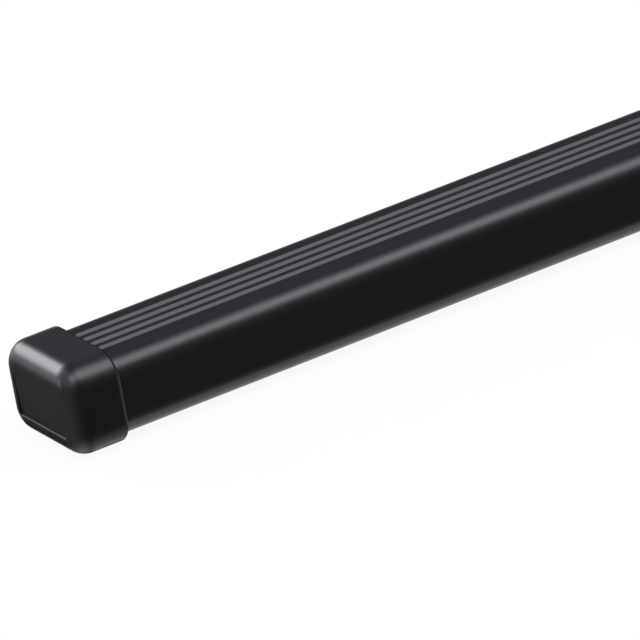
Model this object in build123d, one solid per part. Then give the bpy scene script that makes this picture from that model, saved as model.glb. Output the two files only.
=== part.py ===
from build123d import *
import os

# Roof rack crossbar: a rectangular steel tube in a grooved plastic jacket, closed by two push-in end caps.
# Millimetres. X runs along the bar, -Y is the side with the nearer long edge, Z is up.
# The origin is at mid-length and mid-width, on the plane of the caps' flat undersides.

# Bar
bar_length = 1180.0
bar_width = 32.0
bar_height = 22.0
bar_corner = 6.0
jacket_wall = 1.5
tube_wall = 2.0
bore_corner = 2.5

# Weld bead that the rolled tube has along the inside of its lower wall
bead_width = 2.4
bead_height = 0.5

# Grooves along the top of the jacket
groove_count = 4
groove_pitch = 4.0
groove_opening = 2.2
groove_floor = 0.6
groove_depth = 0.8

# End cap, outside
cap_length = 15.5
cap_end_wall = 4.0
skirt_wall = 1.7
sole_wall = 1.2
cap_corner = 7.4
end_fillet = 5.8
rim_fillet = 1.2

# Leaning panel in the cap's end face, which leaves a lip along its lower edge
lip_depth = 0.45
panel_height = 12.5

# End cap, inside
plug_length = 20.0
plug_wall = 1.8
plug_web = 1.6
plug_lead = 1.0
crush_rib_width = 1.2
crush_rib_run_out = 2.0

# Fits
skirt_clearance = 0.2
seat_clearance = 0.1
plug_clearance = 0.25
crush_rib_clearance = 0.05
bead_clearance = 0.3

# Places that follow from the sizes above
bar_bottom = sole_wall + skirt_clearance
bar_top = bar_bottom + bar_height
bar_end = bar_length / 2
tube_width = bar_width - 2 * jacket_wall
tube_height = bar_height - 2 * jacket_wall
bore_width = tube_width - 2 * tube_wall
bore_height = tube_height - 2 * tube_wall
bore_floor = bar_bottom + jacket_wall + tube_wall
cap_side = skirt_clearance + skirt_wall
cap_width = bar_width + 2 * cap_side
cap_height = bar_top + cap_side
plug_width = bore_width - 2 * plug_clearance
plug_height = bore_height - 2 * plug_clearance
plug_floor = bore_floor + plug_clearance
plug_end = cap_end_wall + plug_length


def section(width, height, corner, bottom):
    """Rounded rectangle across the bar, centred on Y, standing on the given height."""
    return Pos(0, bottom + height / 2) * RectangleRounded(width, height, corner)


def along_bar(profile, start, end):
    """Carry a profile drawn across the bar from one X to another."""
    return extrude(Plane.YZ.offset(start) * profile, amount=end - start)


def weld_bead():
    """Low trapezoid that stands on the bore's lower wall."""
    foot = bore_floor - bead_height / 2
    crown = bore_floor + bead_height
    outline = Polyline(
        (-bead_width / 2, foot),
        (bead_width / 2, foot),
        (bead_width / 4, crown),
        (-bead_width / 4, crown),
        close=True,
    )
    return make_face(outline)


def steel_tube():
    outside = section(tube_width, tube_height, bar_corner - jacket_wall, bar_bottom + jacket_wall)
    bore = section(bore_width, bore_height, bore_corner, bore_floor)
    return along_bar(outside - bore + weld_bead(), -bar_end, bar_end)


def groove():
    """Trapezoid that opens at the top of the jacket."""
    outline = Polyline(
        (-groove_opening / 2, bar_top),
        (-groove_floor / 2, bar_top - groove_depth),
        (groove_floor / 2, bar_top - groove_depth),
        (groove_opening / 2, bar_top),
        close=True,
    )
    return make_face(outline)


def jacket():
    outside = section(bar_width, bar_height, bar_corner, bar_bottom)
    inside = section(tube_width, tube_height, bar_corner - jacket_wall, bar_bottom + jacket_wall)
    profile = outside - inside
    for number in range(groove_count):
        profile -= Pos((number - (groove_count - 1) / 2) * groove_pitch, 0) * groove()
    return along_bar(profile, -bar_end, bar_end)


def cap_shell():
    """Outer form of the cap, from its end face at X = 0 back to its open rim."""
    shell = along_bar(section(cap_width, cap_height, cap_corner, 0), 0, cap_length)
    end_edges = shell.faces().sort_by(Axis.X)[0].edges()
    shell = fillet(end_edges, min(end_fillet, 0.95 * cap_corner))
    rim_edges = shell.faces().sort_by(Axis.X)[-1].edges()
    shell = fillet(rim_edges, min(rim_fillet, sole_wall))
    pocket = section(
        bar_width + 2 * skirt_clearance,
        bar_height + 2 * skirt_clearance,
        bar_corner + skirt_clearance,
        bar_bottom - skirt_clearance,
    )
    return shell - along_bar(pocket, cap_end_wall, cap_length)


def end_panel():
    """Wedge taken out of the end face: deepest at the lip, gone at the panel's top."""
    side = Polyline(
        (0, end_fillet),
        (lip_depth, end_fillet),
        (0, end_fillet + panel_height),
        close=True,
    )
    half_width = cap_width / 2 - end_fillet
    return extrude(Plane.XZ * make_face(side), amount=half_width, both=True)


def crush_rib(height):
    """Low ridge along the plug that takes up the slack in the bore."""
    outline = Polyline(
        (-crush_rib_width / 2, -height),
        (crush_rib_width / 2, -height),
        (crush_rib_width / 6, height),
        (-crush_rib_width / 6, height),
        close=True,
    )
    return make_face(outline)


def plug_ribs():
    """Two ridges on the plug's upper and lower walls, and one on each side wall."""
    height = plug_clearance - crush_rib_clearance
    middle = plug_floor + plug_height / 2
    profiles = []
    for across in (-plug_width / 4, plug_width / 4):
        profiles.append(Pos(across, plug_floor + plug_height) * crush_rib(height))
        profiles.append(Pos(across, plug_floor) * Rot(0, 0, 180) * crush_rib(height))
    profiles.append(Pos(plug_width / 2, middle) * Rot(0, 0, -90) * crush_rib(height))
    profiles.append(Pos(-plug_width / 2, middle) * Rot(0, 0, 90) * crush_rib(height))
    rib_end = plug_end - plug_lead - crush_rib_run_out
    return [along_bar(profile, cap_end_wall, rib_end) for profile in profiles]


def plug():
    """Hollow plug that the cap carries into the tube's bore, stiffened by one upright web."""
    outside = section(plug_width, plug_height, bore_corner - plug_clearance, plug_floor)
    body = along_bar(outside, cap_end_wall, plug_end)
    tip_edges = body.faces().sort_by(Axis.X)[-1].edges()
    body = chamfer(tip_edges, min(plug_lead, plug_wall / 2))
    hollow_width = plug_width - 2 * plug_wall
    hollow_height = plug_height - 2 * plug_wall
    hollow = Pos(0, plug_floor + plug_height / 2) * Rectangle(hollow_width, hollow_height)
    web = Pos(0, plug_floor + plug_height / 2) * Rectangle(plug_web, hollow_height)
    body -= along_bar(hollow - web, cap_end_wall, plug_end)
    for rib in plug_ribs():
        body += rib
    channel_width = bead_width + 2 * bead_clearance
    channel_top = bore_floor + bead_height + bead_clearance
    channel = Pos(0, channel_top / 2) * Rectangle(channel_width, channel_top)
    return body - along_bar(channel, cap_end_wall, plug_end)


def end_cap():
    """Cap in its own place: end face at X = 0, plug towards +X."""
    return cap_shell() - end_panel() + plug()


def write(node, shape):
    export_step(shape, os.path.join("parts", node + ".step"))


os.makedirs("parts", exist_ok=True)

cap_place = bar_end + seat_clearance + cap_end_wall
left_cap = Pos(-cap_place, 0, 0) * end_cap()

write("steel_tube", steel_tube())
write("jacket", jacket())
write("end_cap_left", left_cap)
write("end_cap_right", mirror(left_cap, about=Plane.YZ))
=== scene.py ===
import math

import bpy
import numpy as np
from mathutils import Matrix, Vector


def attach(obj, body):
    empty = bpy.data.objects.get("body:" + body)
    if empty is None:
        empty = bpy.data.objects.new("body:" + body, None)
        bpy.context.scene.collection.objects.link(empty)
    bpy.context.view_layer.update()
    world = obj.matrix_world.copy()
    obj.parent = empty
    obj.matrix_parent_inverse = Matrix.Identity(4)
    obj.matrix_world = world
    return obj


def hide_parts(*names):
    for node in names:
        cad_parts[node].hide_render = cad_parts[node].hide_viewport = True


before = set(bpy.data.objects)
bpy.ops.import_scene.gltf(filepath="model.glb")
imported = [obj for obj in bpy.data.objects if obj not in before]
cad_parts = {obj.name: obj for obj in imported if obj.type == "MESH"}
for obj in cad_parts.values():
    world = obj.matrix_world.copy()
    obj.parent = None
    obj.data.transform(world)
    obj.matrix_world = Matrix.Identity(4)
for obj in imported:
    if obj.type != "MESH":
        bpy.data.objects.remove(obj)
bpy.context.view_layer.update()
mm = 0.001
print("frame loaded:", ", ".join(sorted(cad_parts)))


# One output socket. Arithmetic on it adds Math nodes: a + b, a - b, a * b and a.least(b), with numbers on
# either side.
class Signal:
    def __init__(self, tree, socket):
        self.tree, self.socket = tree, socket

    def maths(self, operation, first, second):
        node = self.tree.nodes.new("ShaderNodeMath")
        node.operation = operation
        for socket, value in zip(node.inputs, (first, second)):
            if isinstance(value, Signal):
                self.tree.links.new(value.socket, socket)
            else:
                socket.default_value = value
        return Signal(self.tree, node.outputs[0])

    def __add__(self, other):
        return self.maths("ADD", self, other)

    def __radd__(self, other):
        return self.maths("ADD", other, self)

    def __sub__(self, other):
        return self.maths("SUBTRACT", self, other)

    def __rsub__(self, other):
        return self.maths("SUBTRACT", other, self)

    def __mul__(self, other):
        return self.maths("MULTIPLY", self, other)

    def __rmul__(self, other):
        return self.maths("MULTIPLY", other, self)

    def least(self, other):
        return self.maths("MINIMUM", self, other)


# A material or world being put together. add() makes any node: its settings first, then its sockets, which
# go by name, or by number where several share one. between() mixes two colours:
# first + share * (second - first). attribute() reads a number kept on the points.
class Finish:
    def __init__(self, owner):
        self.owner = owner
        owner.use_nodes = True
        self.tree = owner.node_tree
        self.tree.nodes.clear()

    def add(self, kind, settings=None, sockets=None, out=0):
        node = self.tree.nodes.new(kind)
        for name, value in (settings or {}).items():
            setattr(node, name, value)
        for name, value in (sockets or {}).items():
            if isinstance(value, Signal):
                self.tree.links.new(value.socket, node.inputs[name])
            else:
                node.inputs[name].default_value = value
        return Signal(self.tree, node.outputs[out] if node.outputs else None)

    def between(self, first, second, share):
        return self.add("ShaderNodeMix", {"data_type": "RGBA"}, {6: first, 7: second, 0: share}, out=2)

    def attribute(self, name):
        settings = {"attribute_type": "GEOMETRY", "attribute_name": name}
        return self.add("ShaderNodeAttribute", settings, out="Fac")


# One closed loop of points (y, z), from the middle of the left side over the top and back below.
# A rounded rectangle: straight sides at across * (halfWidth - corner) and upright * (halfHeight - corner),
# joined by quarter circles (corner cos a, corner sin a). The steps in across are the same on both sides of
# their middle one, 0, and those in upright start at 0.
def loopAcross(halfWidth, halfHeight, corner, middle, across, upright, arcSteps):
    turn = np.linspace(0, math.pi / 2, arcSteps + 1)
    flatY, flatZ = halfWidth - corner, halfHeight - corner
    left = np.stack([np.full(len(upright), -halfWidth), upright * flatZ], 1)
    leftArc = np.stack([-flatY - corner * np.cos(turn), flatZ + corner * np.sin(turn)], 1)
    top = np.stack([across * flatY, np.full(len(across), halfHeight)], 1)
    upper = np.concatenate([left, leftArc, top[: len(top) // 2 + 1]])
    right = upper[:-1][::-1] * (-1, 1)
    over = np.concatenate([upper, right])
    below = over[1:-1][::-1] * (1, -1)
    return np.concatenate([over, below]) + (0, middle)


# Faces between neighbouring rows of a grid of loops: each joins points i and i + 1 of one row to those of
# the next. Every loop is closed, and the last row may join the first.
def gridFaces(rowCount, loopCount, joined=False):
    gaps = rowCount if joined else rowCount - 1
    row, place = np.meshgrid(np.arange(gaps), np.arange(loopCount), indexing="ij")
    nextRow, nextPlace = (row + 1) % rowCount, (place + 1) % loopCount
    corners = [row * loopCount + place, row * loopCount + nextPlace,
               nextRow * loopCount + nextPlace, nextRow * loopCount + place]
    return np.stack(corners, -1).reshape(-1, 4)


# Closes a loop that is the same above and below its middle: point i is joined to its mirror image,
# count - i. Gives the four-sided faces and the two triangles at the ends.
def foldFaces(start, loopCount):
    half = loopCount // 2
    place = np.arange(1, half - 1)
    quads = np.stack([place, place + 1, loopCount - place - 1, loopCount - place], 1) + start
    ends = np.array([[0, 1, loopCount - 1], [half - 1, half, half + 1]]) + start
    return quads, ends


# Makes an object at the origin out of points in millimetres and lists of faces.
def makePiece(name, points, faceGroups, body, node):
    mesh = bpy.data.meshes.new(name)
    faces = [face for group in faceGroups for face in group.tolist()]
    mesh.from_pydata((points * mm).tolist(), [], faces)
    mesh.validate()
    mesh.polygons.foreach_set("use_smooth", np.ones(len(mesh.polygons), bool))
    piece = bpy.data.objects.new(name, mesh)
    bpy.context.scene.collection.objects.link(piece)
    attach(piece, body)
    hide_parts(node)
    print(name, "made of", len(mesh.polygons), "faces")
    return piece


# Share kept on the points for the finish to read, as an attribute with the given name. The normal is taken
# as n = (towards the nearer end, sideways either way, up), and
# share = flat + sum of weight * exp(sharpness * (n . centre - 1)), changed by adjust() for its place, and
# held between 0 and 1. Normals that lean in towards the middle by more than leanIn are marked inward.
def addShare(piece, name, flat=0.0, lobes=(), adjust=None):
    mesh = piece.data
    leanIn = 0.02
    normal, place = (np.empty(3 * len(mesh.vertices)) for _ in range(2))
    mesh.vertices.foreach_get("normal", normal)
    mesh.vertices.foreach_get("co", place)
    normal, place = normal.reshape(-1, 3), place.reshape(-1, 3)
    normal[:, 0] *= np.sign(place[:, 0])
    inward = normal[:, 1] * np.sign(place[:, 1]) < -leanIn
    normal[:, 1] = np.abs(normal[:, 1])
    share = np.full(len(normal), flat)
    for weight, sharpness, centre in lobes:
        toward = np.array(centre) / np.linalg.norm(centre)
        share += weight * np.exp(sharpness * (normal @ toward - 1))
    if adjust:
        share = adjust(share, place / mm, normal, inward)
    mesh.attributes.new(name, "FLOAT", "POINT").data.foreach_set("value", np.clip(share, 0, 1))


# Quarter turn between two straight runs: pairs (along, aside) = (radius sin a, radius (1 - cos a)).
def quarterRound(radius, steps):
    turn = np.linspace(0, math.pi / 2, steps + 1)
    return radius * np.sin(turn), radius * (1 - np.cos(turn))


# Smooth bend in place of a corner: close to 0 below 0 and to x above it, softened over about `softness`.
def softRise(x, softness):
    return (x + np.sqrt(x * x + softness * softness)) / 2


# The bar, in millimetres: a plastic jacket over a steel tube.

bar = {
    "halfLength": 590.0,
    "middle": 12.4,                   # height of the section's middle over the caps' undersides
    "cutEdge": 0.15, "cutSteps": 4,   # what the saw and the deburring leave on the ends
    "rowStep": 30.0, "arcSteps": 24,
}

jacket = {
    "halfWidth": 16.0, "halfHeight": 11.0, "corner": 6.0, "wall": 1.5,
    "grooveCentres": (-6.0, -2.0, 2.0, 6.0),
    "grooveHalfOpening": 1.1, "grooveDepth": 0.8, "grooveSoftness": 0.02,
}

tube = {
    "wall": 2.0, "boreCorner": 2.5,
    "slip": 0.02,                     # its outside stays this far inside the jacket
    "beadHalfWidth": 1.0, "beadSlope": 0.4, "beadHeight": 0.5, "beadSoftness": 0.15,
}

# Steps up the sides, as shares of half their flat height.
sideSteps = np.array([0, 0.25, 0.5, 0.75, 0.95, 0.995])


# Rounded rectangle that lies `wall` inside the jacket's outside.
def barLoop(wall, corner, across):
    return loopAcross(jacket["halfWidth"] - wall, jacket["halfHeight"] - wall, corner, bar["middle"],
                      across, sideSteps, bar["arcSteps"])


# Carries an outer and an inner loop along X and joins them over both cut ends, whose edges are a little
# rounded: point = (x of the row, loop point of the row), with the rows running out along the outside and
# back along the inside.
def hollowBar(outerAt, innerAt):
    length, edge = bar["halfLength"], bar["cutEdge"]
    along, aside = quarterRound(edge, bar["cutSteps"])
    steps = int(round(2 * (length - edge) / bar["rowStep"]))
    run = np.linspace(-length + edge, length - edge, steps + 1)
    near = 0.03     # rows this close to an edge hold it sharp
    outerRows = [(-length, edge + near)]
    outerRows += list(zip(-length + edge - along[::-1], aside[::-1]))
    outerRows += [(run[0] + near, 0)] + [(x, 0) for x in run[1:-1]] + [(run[-1] - near, 0)]
    outerRows += list(zip(length - edge + along, aside))
    outerRows += [(length, edge + near)]
    innerRows = [(length, near), (length, 0), (length - near, 0)]
    innerRows += [(x, 0) for x in run[1:-1][::-1]]
    innerRows += [(-length + near, 0), (-length, 0), (-length, near)]
    loops = [outerAt(inset) for _, inset in outerRows]
    loops += [innerAt(widened) for _, widened in innerRows]
    places = np.array([x for x, _ in outerRows + innerRows])
    across = np.stack(loops)
    points = np.concatenate([np.broadcast_to(places[:, None, None], (*across.shape[:2], 1)), across], 2)
    return points.reshape(-1, 3), gridFaces(*across.shape[:2], joined=True)[:, ::-1]


# Depth of the grooves at a place across the bar: each is a softened trapezoid with walls at 45 degrees,
# depth = rise(halfOpening - |y - centre|) - rise(halfOpening - |y - centre| - grooveDepth).
def grooveDepthAt(across):
    soft = jacket["grooveSoftness"]
    depth = np.zeros_like(across)
    for centre in jacket["grooveCentres"]:
        wall = jacket["grooveHalfOpening"] - np.abs(across - centre)
        depth += softRise(wall, soft) - softRise(wall - jacket["grooveDepth"], soft)
    far = np.abs(across) > jacket["grooveCentres"][-1] + 2 * jacket["grooveHalfOpening"]
    return np.where(far, 0, depth)


# Steps over the jacket's top, as shares of half its flat width: centre +- distance for each groove, close
# together where its floor and its wall bend, and a few on the lands.
def grooveSteps():
    flat = jacket["halfWidth"] - jacket["corner"]
    edge, floor = jacket["grooveHalfOpening"], jacket["grooveHalfOpening"] - jacket["grooveDepth"]
    bend = np.array([-0.08, -0.04, -0.02, -0.01, 0, 0.01, 0.02, 0.04, 0.08])
    side = np.concatenate([[0.0], floor + bend, [0.5, 0.7, 0.85], edge + bend, [1.4]])
    steps = [centre + sign * side for centre in jacket["grooveCentres"] for sign in (-1, 1)]
    lands = [-9.97, -9, -8, -4, 0, 4, 8, 9, 9.97]
    return np.unique(np.round(np.concatenate([*steps, lands]), 4)) / flat


jacketAcross = grooveSteps()


# Outside of the jacket, drawn in by `inset`, with the grooves' depth taken off its top.
def jacketOuter(inset):
    loop = barLoop(inset, jacket["corner"] - inset, jacketAcross)
    upper = loop[:, 1] > bar["middle"]
    loop[:, 1] -= np.where(upper, grooveDepthAt(loop[:, 0]), 0)
    return loop


# Inside of the jacket, let out by `widened`.
def jacketInner(widened):
    wall = jacket["wall"] - widened
    return barLoop(wall, jacket["corner"] - wall, jacketAcross)


# Height of the weld bead inside the tube: a softened low trapezoid,
# height = beadHeight * (rise(reach) - rise(reach - 1)), reach = (beadHalfWidth - |y|) / beadSlope.
def beadHeightAt(across):
    reach = (tube["beadHalfWidth"] - np.abs(across)) / tube["beadSlope"]
    rise = softRise(reach, tube["beadSoftness"]) - softRise(reach - 1, tube["beadSoftness"])
    return tube["beadHeight"] * np.where(np.abs(across) > 2 * tube["beadHalfWidth"], 0, rise)


# Steps across the tube, as shares of half its flat width, close together over the bead.
beadSteps = np.array([0, 0.03, 0.055, 0.06, 0.065, 0.08, 0.095, 0.1, 0.105, 0.13, 0.2, 0.45, 0.7, 0.95,
                      0.997])
tubeAcross = np.unique(np.concatenate([-beadSteps, beadSteps]))


# Outside of the tube, drawn in by `inset`.
def tubeOuter(inset):
    wall = jacket["wall"] + tube["slip"] + inset
    return barLoop(wall, jacket["corner"] - wall, tubeAcross)


# Inside of the tube, let out by `widened`, with the bead's height added to its lower wall.
def tubeInner(widened):
    wall = jacket["wall"] + tube["wall"] - widened
    loop = barLoop(wall, tube["boreCorner"], tubeAcross)
    lower = loop[:, 1] < bar["middle"]
    loop[:, 1] += np.where(lower, beadHeightAt(loop[:, 0]), 0)
    return loop


jacketPoints, jacketFaces = hollowBar(jacketOuter, jacketInner)
jacketPiece = makePiece("groovedJacket", jacketPoints, [jacketFaces], "bar", "jacket")
tubePoints, tubeFaces = hollowBar(tubeOuter, tubeInner)
tubePiece = makePiece("steelTube", tubePoints, [tubeFaces], "bar", "steel_tube")


# The end caps, in millimetres: x runs in from the end face.

cap = {
    "length": 15.5, "wall": 1.7, "endWall": 4.0, "corner": 7.4, "endRound": 5.8, "rimRound": 1.2,
    "rimLand": 0.14,                           # what the rim's round leaves of the wall
    "clearance": 0.2, "seatGap": 0.1,          # round the bar, and between the end wall and the bar
    "pocketRound": 0.12,
    "lipDepth": 0.45, "lipRound": 0.28, "lipRoot": 0.08,
    "lipDrop": 0.22,                           # how far the panel's lower edge is moved down
    "panelHeight": 12.5, "panelSide": 0.06, "panelCorner": 0.4,
    "plugLength": 20.0, "plugGap": 0.25, "plugLead": 0.9, "plugWall": 1.8,
    "hollowCorner": 0.3, "webHalf": 0.8,
    "ribGap": 0.05, "ribHalf": 0.4, "ribSlope": 0.2, "ribStop": 3.0,
    "channelHalf": 1.5, "channelDepth": 0.55,
    "arcSteps": 22, "endSteps": 30, "rimSteps": 12, "lipSteps": 8, "pocketSteps": 4,
}

# Sizes that follow from the bar's.
plugInset = jacket["wall"] + tube["wall"] + cap["plugGap"]
cap["place"] = bar["halfLength"] + cap["seatGap"] + cap["endWall"]
cap["pocketHalfWidth"] = jacket["halfWidth"] + cap["clearance"]
cap["pocketHalfHeight"] = jacket["halfHeight"] + cap["clearance"]
cap["pocketCorner"] = jacket["corner"] + cap["clearance"]
cap["halfWidth"] = cap["pocketHalfWidth"] + cap["wall"]
cap["halfHeight"] = (bar["middle"] + cap["pocketHalfHeight"] + cap["wall"]) / 2
cap["plugHalfWidth"] = jacket["halfWidth"] - plugInset
cap["plugHalfHeight"] = jacket["halfHeight"] - plugInset
cap["plugCorner"] = tube["boreCorner"] - cap["plugGap"]
cap["plugEnd"] = cap["endWall"] + cap["plugLength"]
cap["ribEnd"] = cap["plugEnd"] - cap["ribStop"]
cap["ribPlace"] = cap["plugHalfWidth"] / 2
cap["ribHeight"] = cap["plugGap"] - cap["ribGap"]

# Steps across and up the caps' loops, as shares of half their flat width and height. Some of those across
# fall on the edges of the plug's channel and crush ribs.
ribTop = cap["ribHalf"] - cap["ribSlope"]
ribEdges = cap["ribPlace"] + np.array([-cap["ribHalf"], -ribTop, 0, ribTop, cap["ribHalf"]])
channelEdges = cap["channelHalf"] + np.array([-0.025, 0.025])
plugEdges = np.concatenate([channelEdges, ribEdges]) / (cap["plugHalfWidth"] - cap["plugCorner"])
plainSteps = [0, 0.07, 0.12, 0.18, 0.25, 0.35, 0.45, 0.53, 0.7, 0.8, 0.9, 0.97, 0.996]
halfAcross = np.concatenate([plainSteps, plugEdges])
capAcross = np.unique(np.concatenate([-halfAcross, halfAcross]))
capUpright = np.array([0, 0.04, 0.08, 0.15, 0.3, 0.45, 0.6, 0.75, 0.88, 0.96, 0.994])


# Rounded rectangle with the caps' steps.
def capLoop(halfWidth, halfHeight, corner, middle):
    return loopAcross(halfWidth, halfHeight, corner, middle, capAcross, capUpright, cap["arcSteps"])


# Depth of the panel at a height: lipDepth at the lip, and above it lipDepth * share^3, with the share of
# the panel's height still to go.
def panelDepthAt(height):
    share = 1 - (height - cap["endRound"]) / cap["panelHeight"]
    return cap["lipDepth"] * np.clip(share, 0, 1) ** 3


# End face, as loops drawn in from its outline, with x = panelDepth(z) * share. Along the lower edge, which
# is moved down by lipDrop, a loop is drawn in by the lip's inset, and the share climbs from 0 to 1 over the
# lip's rounded edge, its ledge and its root. At the sides it is drawn in by panelSide * draw, and the
# share is 3 draw^2 - 2 draw^3. The corners take nz^2 of the one and 1 - nz^2 of the other. The outermost
# loop lies a little outside the panel and holds its edge.
def endFaceRows():
    depth, edge, root = cap["lipDepth"], cap["lipRound"], cap["lipRoot"]
    outside, ledge, settled = 0.02, 0.01, [0.4, 0.45]
    turn = np.linspace(0, math.pi / 2, cap["lipSteps"] + 1)
    over, up = np.sin(turn), 1 - np.cos(turn)
    lipInset = np.concatenate([[-outside], edge * over, edge + ledge + root * up, settled])
    lipRise = np.concatenate([[0], edge * up, depth - root + root * over, [depth, depth]])
    draw = lipInset / settled[-1]
    sideShare = np.where(draw > 0, 3 * draw ** 2 - 2 * draw ** 3, 0)
    draw[0] = -0.3
    halfWidth, halfHeight = cap["halfWidth"] - cap["endRound"], cap["halfHeight"] - cap["endRound"]
    corner = cap["panelCorner"]
    outline = capLoop(halfWidth, halfHeight, corner, 0)
    lean = ((outline - capLoop(halfWidth - 1, halfHeight - 1, corner - 1, 0))[:, 1]) ** 2
    rows = []
    for inset, lip, side, part in list(zip(lipInset, lipRise / depth, sideShare, draw))[::-1]:
        drawn = (1 - part * cap["panelSide"] / halfWidth, 1 - inset / halfHeight)
        loop = outline * drawn + (0, cap["halfHeight"])
        share = lean * lip + (1 - lean) * side
        loop[:, 1] -= cap["lipDrop"] * lean * (loop[:, 1] < cap["halfHeight"])
        rows.append(np.column_stack([panelDepthAt(loop[:, 1]) * share, loop]))
    return rows


# A rounded rectangle at constant x: point = (x, y, z).
def flatRow(x, halfWidth, halfHeight, corner, middle):
    loop = capLoop(halfWidth, halfHeight, corner, middle)
    return np.column_stack([np.full(len(loop), x), loop])


# Outside of the cap, drawn in by `inset`.
def outsideRow(x, inset):
    halfWidth, halfHeight = cap["halfWidth"] - inset, cap["halfHeight"] - inset
    return flatRow(x, halfWidth, halfHeight, cap["corner"] - inset, cap["halfHeight"])


# Rim: a quarter round of rimRound that the skirt's inner face cuts short where the wall is thinner than it.
# inset = rimRound * (1 - cos a), x = rimStart + rimRound * sin a, with a a share of the angle that the wall
# allows: acos(1 - (wall - rimLand) / rimRound), and
# wall = side wall - (side wall - sole wall) * downward part of the normal. The normal is the step from a loop
# drawn in by 1 to the outside.
def rimRow(share):
    size, start = cap["rimRound"], cap["length"] - cap["rimRound"]
    outer = outsideRow(0, 0)[:, 1:]
    normal = outer - outsideRow(0, 1.0)[:, 1:]
    soleWall = bar["middle"] - cap["pocketHalfHeight"]
    wall = cap["wall"] - (cap["wall"] - soleWall) * np.clip(-normal[:, 1], 0, 1)
    turn = share * np.arccos(np.clip(1 - (wall - cap["rimLand"]) / size, 0, 1))
    inset = size * (1 - np.cos(turn))
    return np.column_stack([start + size * np.sin(turn), outer - normal * inset[:, None]])


# Inside of the skirt, let out by `widened`.
def pocketRow(x, widened):
    halfWidth, halfHeight = cap["pocketHalfWidth"] + widened, cap["pocketHalfHeight"] + widened
    return flatRow(x, halfWidth, halfHeight, cap["pocketCorner"] + widened, bar["middle"])


# The same where it follows the rim: x = x of the rim at each point - back.
def pocketRimRow(back, widened):
    row = pocketRow(0, widened)
    row[:, 0] = rimRow(1.0)[:, 0] - back
    return row


# Outside of the plug, drawn in by `inset`: a rounded rectangle with crush ribs raised by
# ribs * (trapezoid of the distance from the rib's middle) and a channel cut up into its lower wall.
def plugRow(x, inset, ribs):
    halfWidth, halfHeight, touch = cap["plugHalfWidth"] - inset, cap["plugHalfHeight"] - inset, 0.001
    row = flatRow(x, halfWidth, halfHeight, cap["plugCorner"] - inset, bar["middle"])
    y, z = row[:, 1].copy(), row[:, 2] - bar["middle"]
    level = np.abs(z) > halfHeight - touch
    upright = np.abs(y) > halfWidth - touch
    ridgeY = np.clip((cap["ribHalf"] - np.abs(np.abs(y) - cap["ribPlace"])) / cap["ribSlope"], 0, 1)
    ridgeZ = np.clip((cap["ribHalf"] - np.abs(z)) / cap["ribSlope"], 0, 1)
    row[:, 2] += np.where(level, np.sign(z) * ridgeY * ribs * cap["ribHeight"], 0)
    row[:, 1] += np.where(upright, np.sign(y) * ridgeZ * ribs * cap["ribHeight"], 0)
    channel = level & (z < 0) & (np.abs(y) < cap["channelHalf"])
    row[:, 2] += np.where(channel, max(cap["channelDepth"] - inset, 0), 0)
    return row


# Inside of the plug's hollow, let out by `widened`.
def hollowRow(x, widened):
    inset = cap["plugWall"] - widened
    halfWidth, halfHeight = cap["plugHalfWidth"] - inset, cap["plugHalfHeight"] - inset
    return flatRow(x, halfWidth, halfHeight, cap["hollowCorner"] + widened, bar["middle"])


# Whole cap as one skin of loops, from the middle of the end face over the outside, round the rim, down the
# skirt's inside, up the plug and into its hollow. The end's round is x = endRound * (1 - cos a), drawn in
# by endRound * (1 - sin a). Rows that lie tight, near or close to an edge hold it sharp, and the others
# divide the straight runs.
def capSkin():
    tight, near, close = 0.02, 0.03, 0.1
    skirtRows, pocketRows, plugRows, hollowRows = (8.0, 11.0), (12.0, 8.0), (10.0, 16.0), (17.0, 10.0)
    innermost = 3.0
    bend, small = cap["endRound"], cap["pocketRound"]
    rim, floor = cap["length"] - cap["rimRound"], cap["endWall"]
    tip, lead = cap["plugEnd"], cap["plugLead"]
    rows = endFaceRows()
    turn = np.linspace(0, math.pi / 2, cap["endSteps"] + 1)[2:]
    rows += [outsideRow(bend * (1 - math.cos(a)), bend * (1 - math.sin(a))) for a in turn]
    rows += [outsideRow(x, 0) for x in (bend + 2 * tight, *skirtRows, rim - 4 * close, rim - 2 * tight)]
    rows += [rimRow(share) for share in np.linspace(0, 1, cap["rimSteps"] + 1)]
    along, aside = quarterRound(small, cap["pocketSteps"])
    rows += [pocketRimRow(small - a, b) for a, b in zip(along[::-1], aside[::-1])]
    rows += [pocketRimRow(small + near, 0)]
    rows += [pocketRow(x, 0) for x in (*pocketRows, floor + small + near)]
    rows += [pocketRow(floor + small - a, -b) for a, b in zip(along, aside)]
    rows += [pocketRow(floor, -small - near), plugRow(floor, -near, 1), plugRow(floor, 0, 1)]
    rows += [plugRow(x, 0, 1) for x in (floor + near, *plugRows, cap["ribEnd"] - close)]
    rows += [plugRow(x, 0, 0) for x in (cap["ribEnd"], tip - lead - tight, tip - lead)]
    rows += [plugRow(tip - lead + tight, tight, 0), plugRow(tip - tight, lead - tight, 0)]
    rows += [plugRow(tip, lead, 0), plugRow(tip, lead + tight, 0)]
    rows += [hollowRow(tip, near), hollowRow(tip, 0), hollowRow(tip - near, 0)]
    rows += [hollowRow(x, 0) for x in (*hollowRows, floor + close)]
    rows += [hollowRow(floor, -close), hollowRow(floor, -innermost)]
    return np.stack(rows)


# Upright web in the plug's hollow, let a little into the walls: a box from three rows of four points,
# narrower at its outer edge, as if rounded.
def webSkin():
    sink, edge, narrower = 0.2, 0.1, 0.9
    half, reach = cap["webHalf"], cap["plugHalfHeight"] - cap["plugWall"] + sink
    outline = np.array([[-half, -reach], [-half, reach], [half, reach], [half, -reach]])
    rows = [(cap["endWall"] - sink, 1.0), (cap["plugEnd"] - edge, 1.0), (cap["plugEnd"], narrower)]
    points = np.concatenate([np.column_stack([np.full(4, x), outline * (share, 1)]) for x, share in rows])
    return points + (0, 0, bar["middle"])


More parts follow.
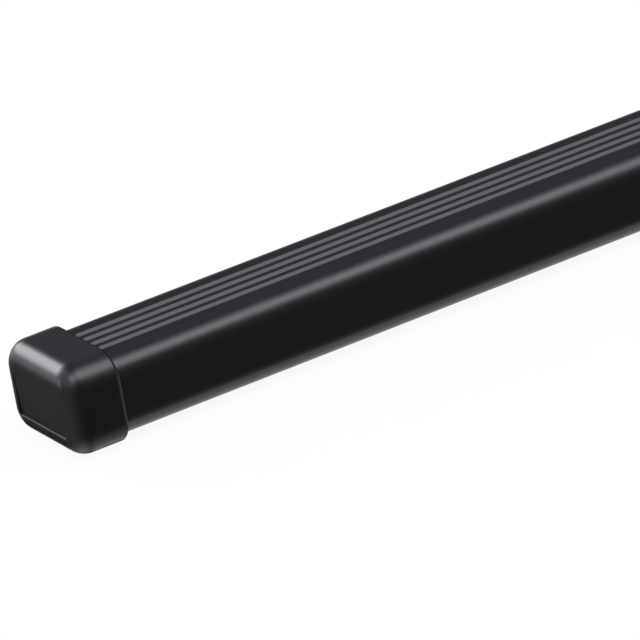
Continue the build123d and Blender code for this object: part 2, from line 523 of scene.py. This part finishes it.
# Skin and web of one cap, with X = side * (place - x), where side is -1 at the left end and 1 at the right.
def makeCap(name, side, body, node):
    skin, web = capSkin(), webSkin()
    rowCount, loopCount = skin.shape[:2]
    base = rowCount * loopCount
    frontQuads, frontEnds = foldFaces(0, loopCount)
    backQuads, backEnds = foldFaces(base - loopCount, loopCount)
    webSides = gridFaces(3, 4) + base
    webEnds = np.array([[0, 1, 2, 3], [11, 10, 9, 8]]) + base
    groups = [frontQuads[:, ::-1], frontEnds[:, ::-1], backQuads, backEnds,
              gridFaces(rowCount, loopCount), webSides, webEnds[:, ::-1]]
    points = np.concatenate([skin.reshape(-1, 3), web])
    points[:, 0] = side * (cap["place"] - points[:, 0])
    if side < 0:
        groups = [group[:, ::-1] for group in groups]
    return makePiece(name, points, groups, body, node)


capLeft = makeCap("leftEndCap", -1, "cap_left", "end_cap_left")
capRight = makeCap("rightEndCap", 1, "cap_right", "end_cap_right")


# Black plastic, in metres. Flats are dull, and rounded edges come out of the tool more or less polished.

plastic = {
    "grainSize": 0.00035, "streakAcross": 0.0005, "streakAlong": 0.12, "cloudsPerMetre": 45.0,
    "bumpHeight": 0.00002,
    "cloudRoughness": 0.08, "streakRoughness": 0.04,   # how far clouds and streaks change the roughness
    "cloudPolish": 0.2,                                # and how far clouds change the polish
    "cloudShade": 0.3, "lighter": 1.6,                 # and the colour, which may be this much lighter
    "dullRoughness": 0.9, "refraction": 1.5,
    # painted highlight: the paler grey that the caps' rims take as a band of light
    "rimHighlightColour": (0.035, 0.035, 0.036),
}

# Edges are given as (weight, sharpness, middle normal), with the normal as addShare() takes it.
jacketFinish = {
    "colour": (0.0024, 0.0024, 0.0027), "roughness": 0.34,
    "streaks": 0.6, "grain": 0.3,
    "polish": 0.14,
    "polishedEdges": (
        (1.4, 30.0, (0, 0.707, 0.707)),       # long upper edges and the grooves' walls
        (-0.025, 20.0, (0, 1, 0)),            # sides
        (0.1, 40.0, (0, 0.966, 0.259)),       # where they begin to turn over
        (0.2, 40.0, (0, 0.26, 0.966)),        # where the top begins to turn down
        (3.0, 18.0, (0, 0.766, -0.643)),      # long lower edges
    ),
    "grooveReach": 8.2, "grooveCeiling": 0.85,
}

capFinish = {
    "colour": (0.0024, 0.0024, 0.0027), "roughness": 0.34,
    "streaks": 0.0, "grain": 0.6,
    "polish": 0.12,
    "polishedEdges": (
        (1.4, 30.0, (0, 0.707, 0.707)),       # long upper edges
        (-0.025, 20.0, (0, 1, 0)),            # sides
        (0.08, 40.0, (0, 0.966, 0.259)),      # where they begin to turn over
        (0.2, 40.0, (0, 0.26, 0.966)),        # where the top begins to turn down
        (0.07, 20.0, (0, 0, 1)),              # top
        (1.7, 15.0, (0.707, 0, 0.707)),       # upper end edge
        (0.22, 60.0, (0.914, 0, 0.407)),      # where it begins to turn over
        (1.0, 25.0, (0.577, 0.577, 0.577)),   # upper corners
        (0.28, 14.0, (0.866, 0.5, 0)),        # upright end edges
        (0.5, 30.0, (0, 0.906, -0.423)),      # long lower edges, where they begin to turn under
        (0.62, 60.0, (0, 0.731, -0.682)),     # long lower edges
        (-0.06, 30.0, (0, 0.45, -0.9)),       # where they reach the underside
        (-0.08, 80.0, (0.956, 0, -0.292)),    # start of the lower end edge
        (-0.06, 80.0, (0.9, 0, -0.44)),       # and on round it
        (0.35, 14.0, (0.60, 0, -0.80)),       # rest of the lower end edge
        (0.95, 20.0, (0.55, 0.65, -0.52)),    # lower corners
        (0.4, 60.0, (-0.45, 0.893, 0)),       # upright rim
        (-0.12, 14.0, (-0.5, 0, 0.87)),       # upper rim
    ),
    # Painted highlight along the caps' upright rims, given like the polished edges
    "rimHighlightEdges": (
        (0.8, 14.0, (-0.85, 0.53, 0)),        # upright rim
    ),
    # how strong the painted rim highlight is, and how far from the rim it reaches
    "rimHighlightWeight": 0.74, "rimReach": 1.6,
    "lipBand": 0.6, "lipCeiling": 0.52, "sideWallCeiling": 0.3,
}


# The grooves' walls come out of the die a little duller than the edges: share <= grooveCeiling.
def dullGrooves(share, place, normal, inward):
    grooved = np.abs(place[:, 1]) < jacketFinish["grooveReach"]
    return np.where(grooved, np.minimum(share, jacketFinish["grooveCeiling"]), share)


# The lip's rounded edge and the panel's side walls are duller than the rest: share <= their ceilings.
def dullPanel(share, place, normal, inward):
    depth = cap["place"] - np.abs(place[:, 0])
    onPanel = depth < cap["lipDepth"] + 0.01
    lip = onPanel & (depth > 0) & (np.abs(place[:, 2] - cap["endRound"]) < capFinish["lipBand"])
    ceiling = np.where(lip, capFinish["lipCeiling"], 1.0)
    ceiling = np.where(onPanel & inward, capFinish["sideWallCeiling"], ceiling)
    return np.minimum(share, ceiling)


# The cap's sides get a painted highlight, paler towards the rim:
# share + rimHighlightWeight * (1 - nz^2)^2 * (1 - distance from the rim / rimReach).
def paintRimHighlight(share, place, normal, inward):
    distance = cap["length"] - (cap["place"] - np.abs(place[:, 0]))
    upright = (1 - normal[:, 2] ** 2) ** 2
    return share + capFinish["rimHighlightWeight"] * upright * np.clip(1 - distance / capFinish["rimReach"], 0, 1)


# A dull and a glossy body blended by the surface's polish, in a colour that goes to the paler rim colour
# where a
#  highlight is painted along the caps' rims. Fine grain and drawn streaks lift the surface. Slow clouds vary
#  its colour, roughness and polish.
def blackPlastic(name, look):
    finish = Finish(bpy.data.materials.new(name))
    place = finish.add("ShaderNodeTexCoord", out="Object")
    perMetre = (1 / plastic["streakAlong"], 1 / plastic["streakAcross"], 1 / plastic["streakAcross"])
    stretched = finish.add("ShaderNodeMapping", {}, {"Vector": place, "Scale": perMetre})
    streaks = finish.add("ShaderNodeTexNoise", {}, {"Vector": stretched, "Scale": 1.0, "Detail": 3.0})
    grain = finish.add("ShaderNodeTexNoise", {}, {
        "Vector": place, "Scale": 1 / plastic["grainSize"], "Detail": 2.0})
    clouds = finish.add("ShaderNodeTexNoise", {}, {
        "Vector": place, "Scale": plastic["cloudsPerMetre"], "Detail": 4.0, "Roughness": 0.6})
    drift = clouds - 0.5
    height = streaks * look["streaks"] + grain * look["grain"]
    bump = finish.add("ShaderNodeBump", {}, {
        "Strength": 1.0, "Distance": plastic["bumpHeight"], "Height": height})
    rough = look["roughness"] + drift * plastic["cloudRoughness"]
    rough = rough + (streaks - 0.5) * plastic["streakRoughness"]
    lighter = [plastic["lighter"] * part for part in look["colour"]]
    tint = finish.between((*look["colour"], 1), (*lighter, 1), 0.5 + drift * plastic["cloudShade"])
    # Painted highlight: paler colour along the caps' rims, by the share kept on the points
    tint = finish.between(tint, (*plastic["rimHighlightColour"], 1), finish.attribute("paintedRimHighlight"))
    gloss = finish.add("ShaderNodeBsdfPrincipled", {}, {
        "Base Color": tint, "Roughness": rough, "IOR": plastic["refraction"], "Normal": bump})
    dull = finish.add("ShaderNodeBsdfPrincipled", {}, {
        "Base Color": tint, "Roughness": plastic["dullRoughness"], "Specular IOR Level": 0.0})
    polish = finish.attribute("polish") * (1 + drift * plastic["cloudPolish"])
    blend = finish.add("ShaderNodeMixShader", {}, {0: polish, 1: dull, 2: gloss})
    finish.add("ShaderNodeOutputMaterial", {}, {"Surface": blend})
    return finish.owner


addShare(jacketPiece, "polish", jacketFinish["polish"], jacketFinish["polishedEdges"], dullGrooves)
# No painted rim highlight on the jacket: its share stays 0
addShare(jacketPiece, "paintedRimHighlight")
jacketPiece.data.materials.append(blackPlastic("jacketPlastic", jacketFinish))
capMaterial = blackPlastic("capPlastic", capFinish)
for piece in (capLeft, capRight):
    addShare(piece, "polish", capFinish["polish"], capFinish["polishedEdges"], dullPanel)
    # Painted highlight along the cap's rim
    addShare(piece, "paintedRimHighlight", 0.0, capFinish["rimHighlightEdges"], paintRimHighlight)
    piece.data.materials.append(capMaterial)
print("plastic finished")


# Zinc-coated steel.

steel = {
    "darkFlake": (0.52, 0.53, 0.54), "lightFlake": (0.68, 0.69, 0.70),
    "flakesPerMetre": 260.0, "cloudsPerMetre": 900.0, "bumpHeight": 0.00003,
    "roughness": 0.32, "flakeRoughness": 0.14,   # and what a flake's own value adds to it
}


# Each flake of the zinc, a cell of random value, has its own grey and its own roughness.
def galvanisedSteel(name):
    finish = Finish(bpy.data.materials.new(name))
    place = finish.add("ShaderNodeTexCoord", out="Object")
    spangle = finish.add("ShaderNodeTexVoronoi", {"feature": "F1"}, {
        "Vector": place, "Scale": steel["flakesPerMetre"]}, out="Color")
    flake = finish.add("ShaderNodeSeparateColor", {}, {"Color": spangle})
    clouds = finish.add("ShaderNodeTexNoise", {}, {
        "Vector": place, "Scale": steel["cloudsPerMetre"], "Detail": 3.0})
    tint = finish.between((*steel["darkFlake"], 1), (*steel["lightFlake"], 1), flake)
    bump = finish.add("ShaderNodeBump", {}, {
        "Strength": 1.0, "Distance": steel["bumpHeight"], "Height": clouds})
    rough = steel["roughness"] + flake * steel["flakeRoughness"]
    zinc = finish.add("ShaderNodeBsdfPrincipled", {}, {
        "Base Color": tint, "Metallic": 1.0, "Roughness": rough, "Normal": bump})
    finish.add("ShaderNodeOutputMaterial", {}, {"Surface": zinc})
    return finish.owner


tubePiece.data.materials.append(galvanisedSteel("galvanisedSteel"))
print("steel finished")


# Stage, light and camera, in metres.

stage = {
    "target": (-0.5441, 0.0, 0.0124),         # where the lamps look, and the camera's fixed point
    "floorHalf": 20.0, "floorTiles": 8, "floorDrop": 0.0002, "floorColour": (0.93, 0.93, 0.93),
    "floorGlow": 0.93,                        # share of plain white that camera and reflections see in it
    "worldLevel": 0.25, "skyColour": (0.99, 0.98, 1.14),
    "lampDistance": 2.4,
    # Softboxes: name, direction from the target, width and height, radiance.
    "softboxes": (
        ("overheadBox", (0, -0.42, 0.82), (3.9, 1.25), 3.9),
        ("backBox", (-0.27, 0.82, 0.44), (1.42, 1.0), 7.2),
        ("leftBox", (-0.86, 0.50, 0.11), (0.3, 0.5), 13.0),
    ),
    # Camera: degrees round, up and about its own axis, and the target's place in the picture, in pixels.
    "azimuth": -26.942, "elevation": 22.711, "roll": -10.154,
    "cameraDistance": 2.34959, "pixelsPerMetre": 3930.0,
    "imageSize": 640, "targetPixel": (207.569, 337.949),
    "sensorWidth": 36.0, "viewEnd": 200.0,
}


# 1 for camera, glossy and transmission rays, so that metal shows as light a background as the camera.
def seenDirectly(finish):
    camera = finish.add("ShaderNodeLightPath", out="Is Camera Ray")
    glossy = finish.add("ShaderNodeLightPath", out="Is Glossy Ray")
    through = finish.add("ShaderNodeLightPath", out="Is Transmission Ray")
    return (camera + glossy + through).least(1)


# Level square of tiles just under the object: x and y from -floorHalf to floorHalf, z = -floorDrop.
def makeFloor():
    tiles = stage["floorTiles"]
    grid = np.linspace(-stage["floorHalf"], stage["floorHalf"], tiles + 1)
    x, y = np.meshgrid(grid, grid, indexing="ij")
    points = np.stack([x, y, np.full_like(x, -stage["floorDrop"])], -1).reshape(-1, 3)
    row, place = np.meshgrid(np.arange(tiles), np.arange(tiles), indexing="ij")
    start = (row * (tiles + 1) + place).ravel()
    faces = np.stack([start, start + tiles + 1, start + tiles + 2, start + 1], 1)
    mesh = bpy.data.meshes.new("floor")
    mesh.from_pydata(points.tolist(), [], faces.tolist())
    floor = bpy.data.objects.new("floor", mesh)
    bpy.context.scene.collection.objects.link(floor)
    finish = Finish(bpy.data.materials.new("paleFloor"))
    plain = finish.add("ShaderNodeBsdfDiffuse", {}, {"Color": (*stage["floorColour"], 1)})
    glow = finish.add("ShaderNodeEmission", {}, {"Color": (1, 1, 1, 1), "Strength": 1.0})
    share = seenDirectly(finish) * stage["floorGlow"]
    blend = finish.add("ShaderNodeMixShader", {}, {0: share, 1: plain, 2: glow})
    finish.add("ShaderNodeOutputMaterial", {}, {"Surface": blend})
    mesh.materials.append(finish.owner)


# Full strength where it is seen directly, and else a plain level: worldLevel + seen * (1 - worldLevel). It is
# white for the camera and has skyColour for everything else.
def makeWorld():
    world = bpy.data.worlds.new("studio")
    bpy.context.scene.world = world
    finish = Finish(world)
    level = stage["worldLevel"] + seenDirectly(finish) * (1 - stage["worldLevel"])
    camera = finish.add("ShaderNodeLightPath", out="Is Camera Ray")
    tint = finish.between((*stage["skyColour"], 1), (1, 1, 1, 1), camera)
    sky = finish.add("ShaderNodeBackground", {}, {"Color": tint, "Strength": level})
    finish.add("ShaderNodeOutputWorld", {}, {"Surface": sky})


# Softbox that faces the target from lampDistance away, with power = radiance * pi * area.
def softbox(name, direction, size, radiance):
    lamp = bpy.data.lights.new(name, "AREA")
    lamp.shape = "RECTANGLE"
    lamp.size, lamp.size_y = size
    lamp.energy = radiance * math.pi * size[0] * size[1]
    box = bpy.data.objects.new(name, lamp)
    bpy.context.scene.collection.objects.link(box)
    aim = Vector(direction).normalized()
    place = Vector(stage["target"]) + aim * stage["lampDistance"]
    box.matrix_world = Matrix.Translation(place) @ aim.to_track_quat("Z", "Y").to_matrix().to_4x4()
    box.visible_camera = False


# Camera at cameraDistance from the target, moved aside without turning to put the target on targetPixel:
# metres aside = pixels from the picture's middle / pixelsPerMetre.
def makeCamera():
    azimuth, elevation, roll = (math.radians(stage[angle]) for angle in ("azimuth", "elevation", "roll"))
    distance, scale, image = stage["cameraDistance"], stage["pixelsPerMetre"], stage["imageSize"]
    level = math.cos(elevation)
    back = Vector((math.sin(azimuth) * level, -math.cos(azimuth) * level, math.sin(elevation)))
    right = Vector((math.cos(azimuth), math.sin(azimuth), 0))
    up = back.cross(right)
    turnedRight = right * math.cos(roll) + up * math.sin(roll)
    turnedUp = -right * math.sin(roll) + up * math.cos(roll)
    aside = (stage["targetPixel"][0] - image / 2) / scale
    above = (image / 2 - stage["targetPixel"][1]) / scale
    place = Vector(stage["target"]) + back * distance - turnedRight * aside - turnedUp * above
    data = bpy.data.cameras.new("photoView")
    data.sensor_width = stage["sensorWidth"]
    data.lens = scale * distance * stage["sensorWidth"] / image
    data.clip_end = stage["viewEnd"]
    camera = bpy.data.objects.new("photoView", data)
    bpy.context.scene.collection.objects.link(camera)
    facing = Matrix((turnedRight, turnedUp, back)).transposed()
    camera.matrix_world = Matrix.Translation(place) @ facing.to_4x4()
    bpy.context.scene.camera = camera


makeFloor()
makeWorld()
for name, direction, size, radiance in stage["softboxes"]:
    softbox(name, direction, size, radiance)
makeCamera()
bpy.context.scene.view_settings.view_transform = "Standard"
print("stage set")
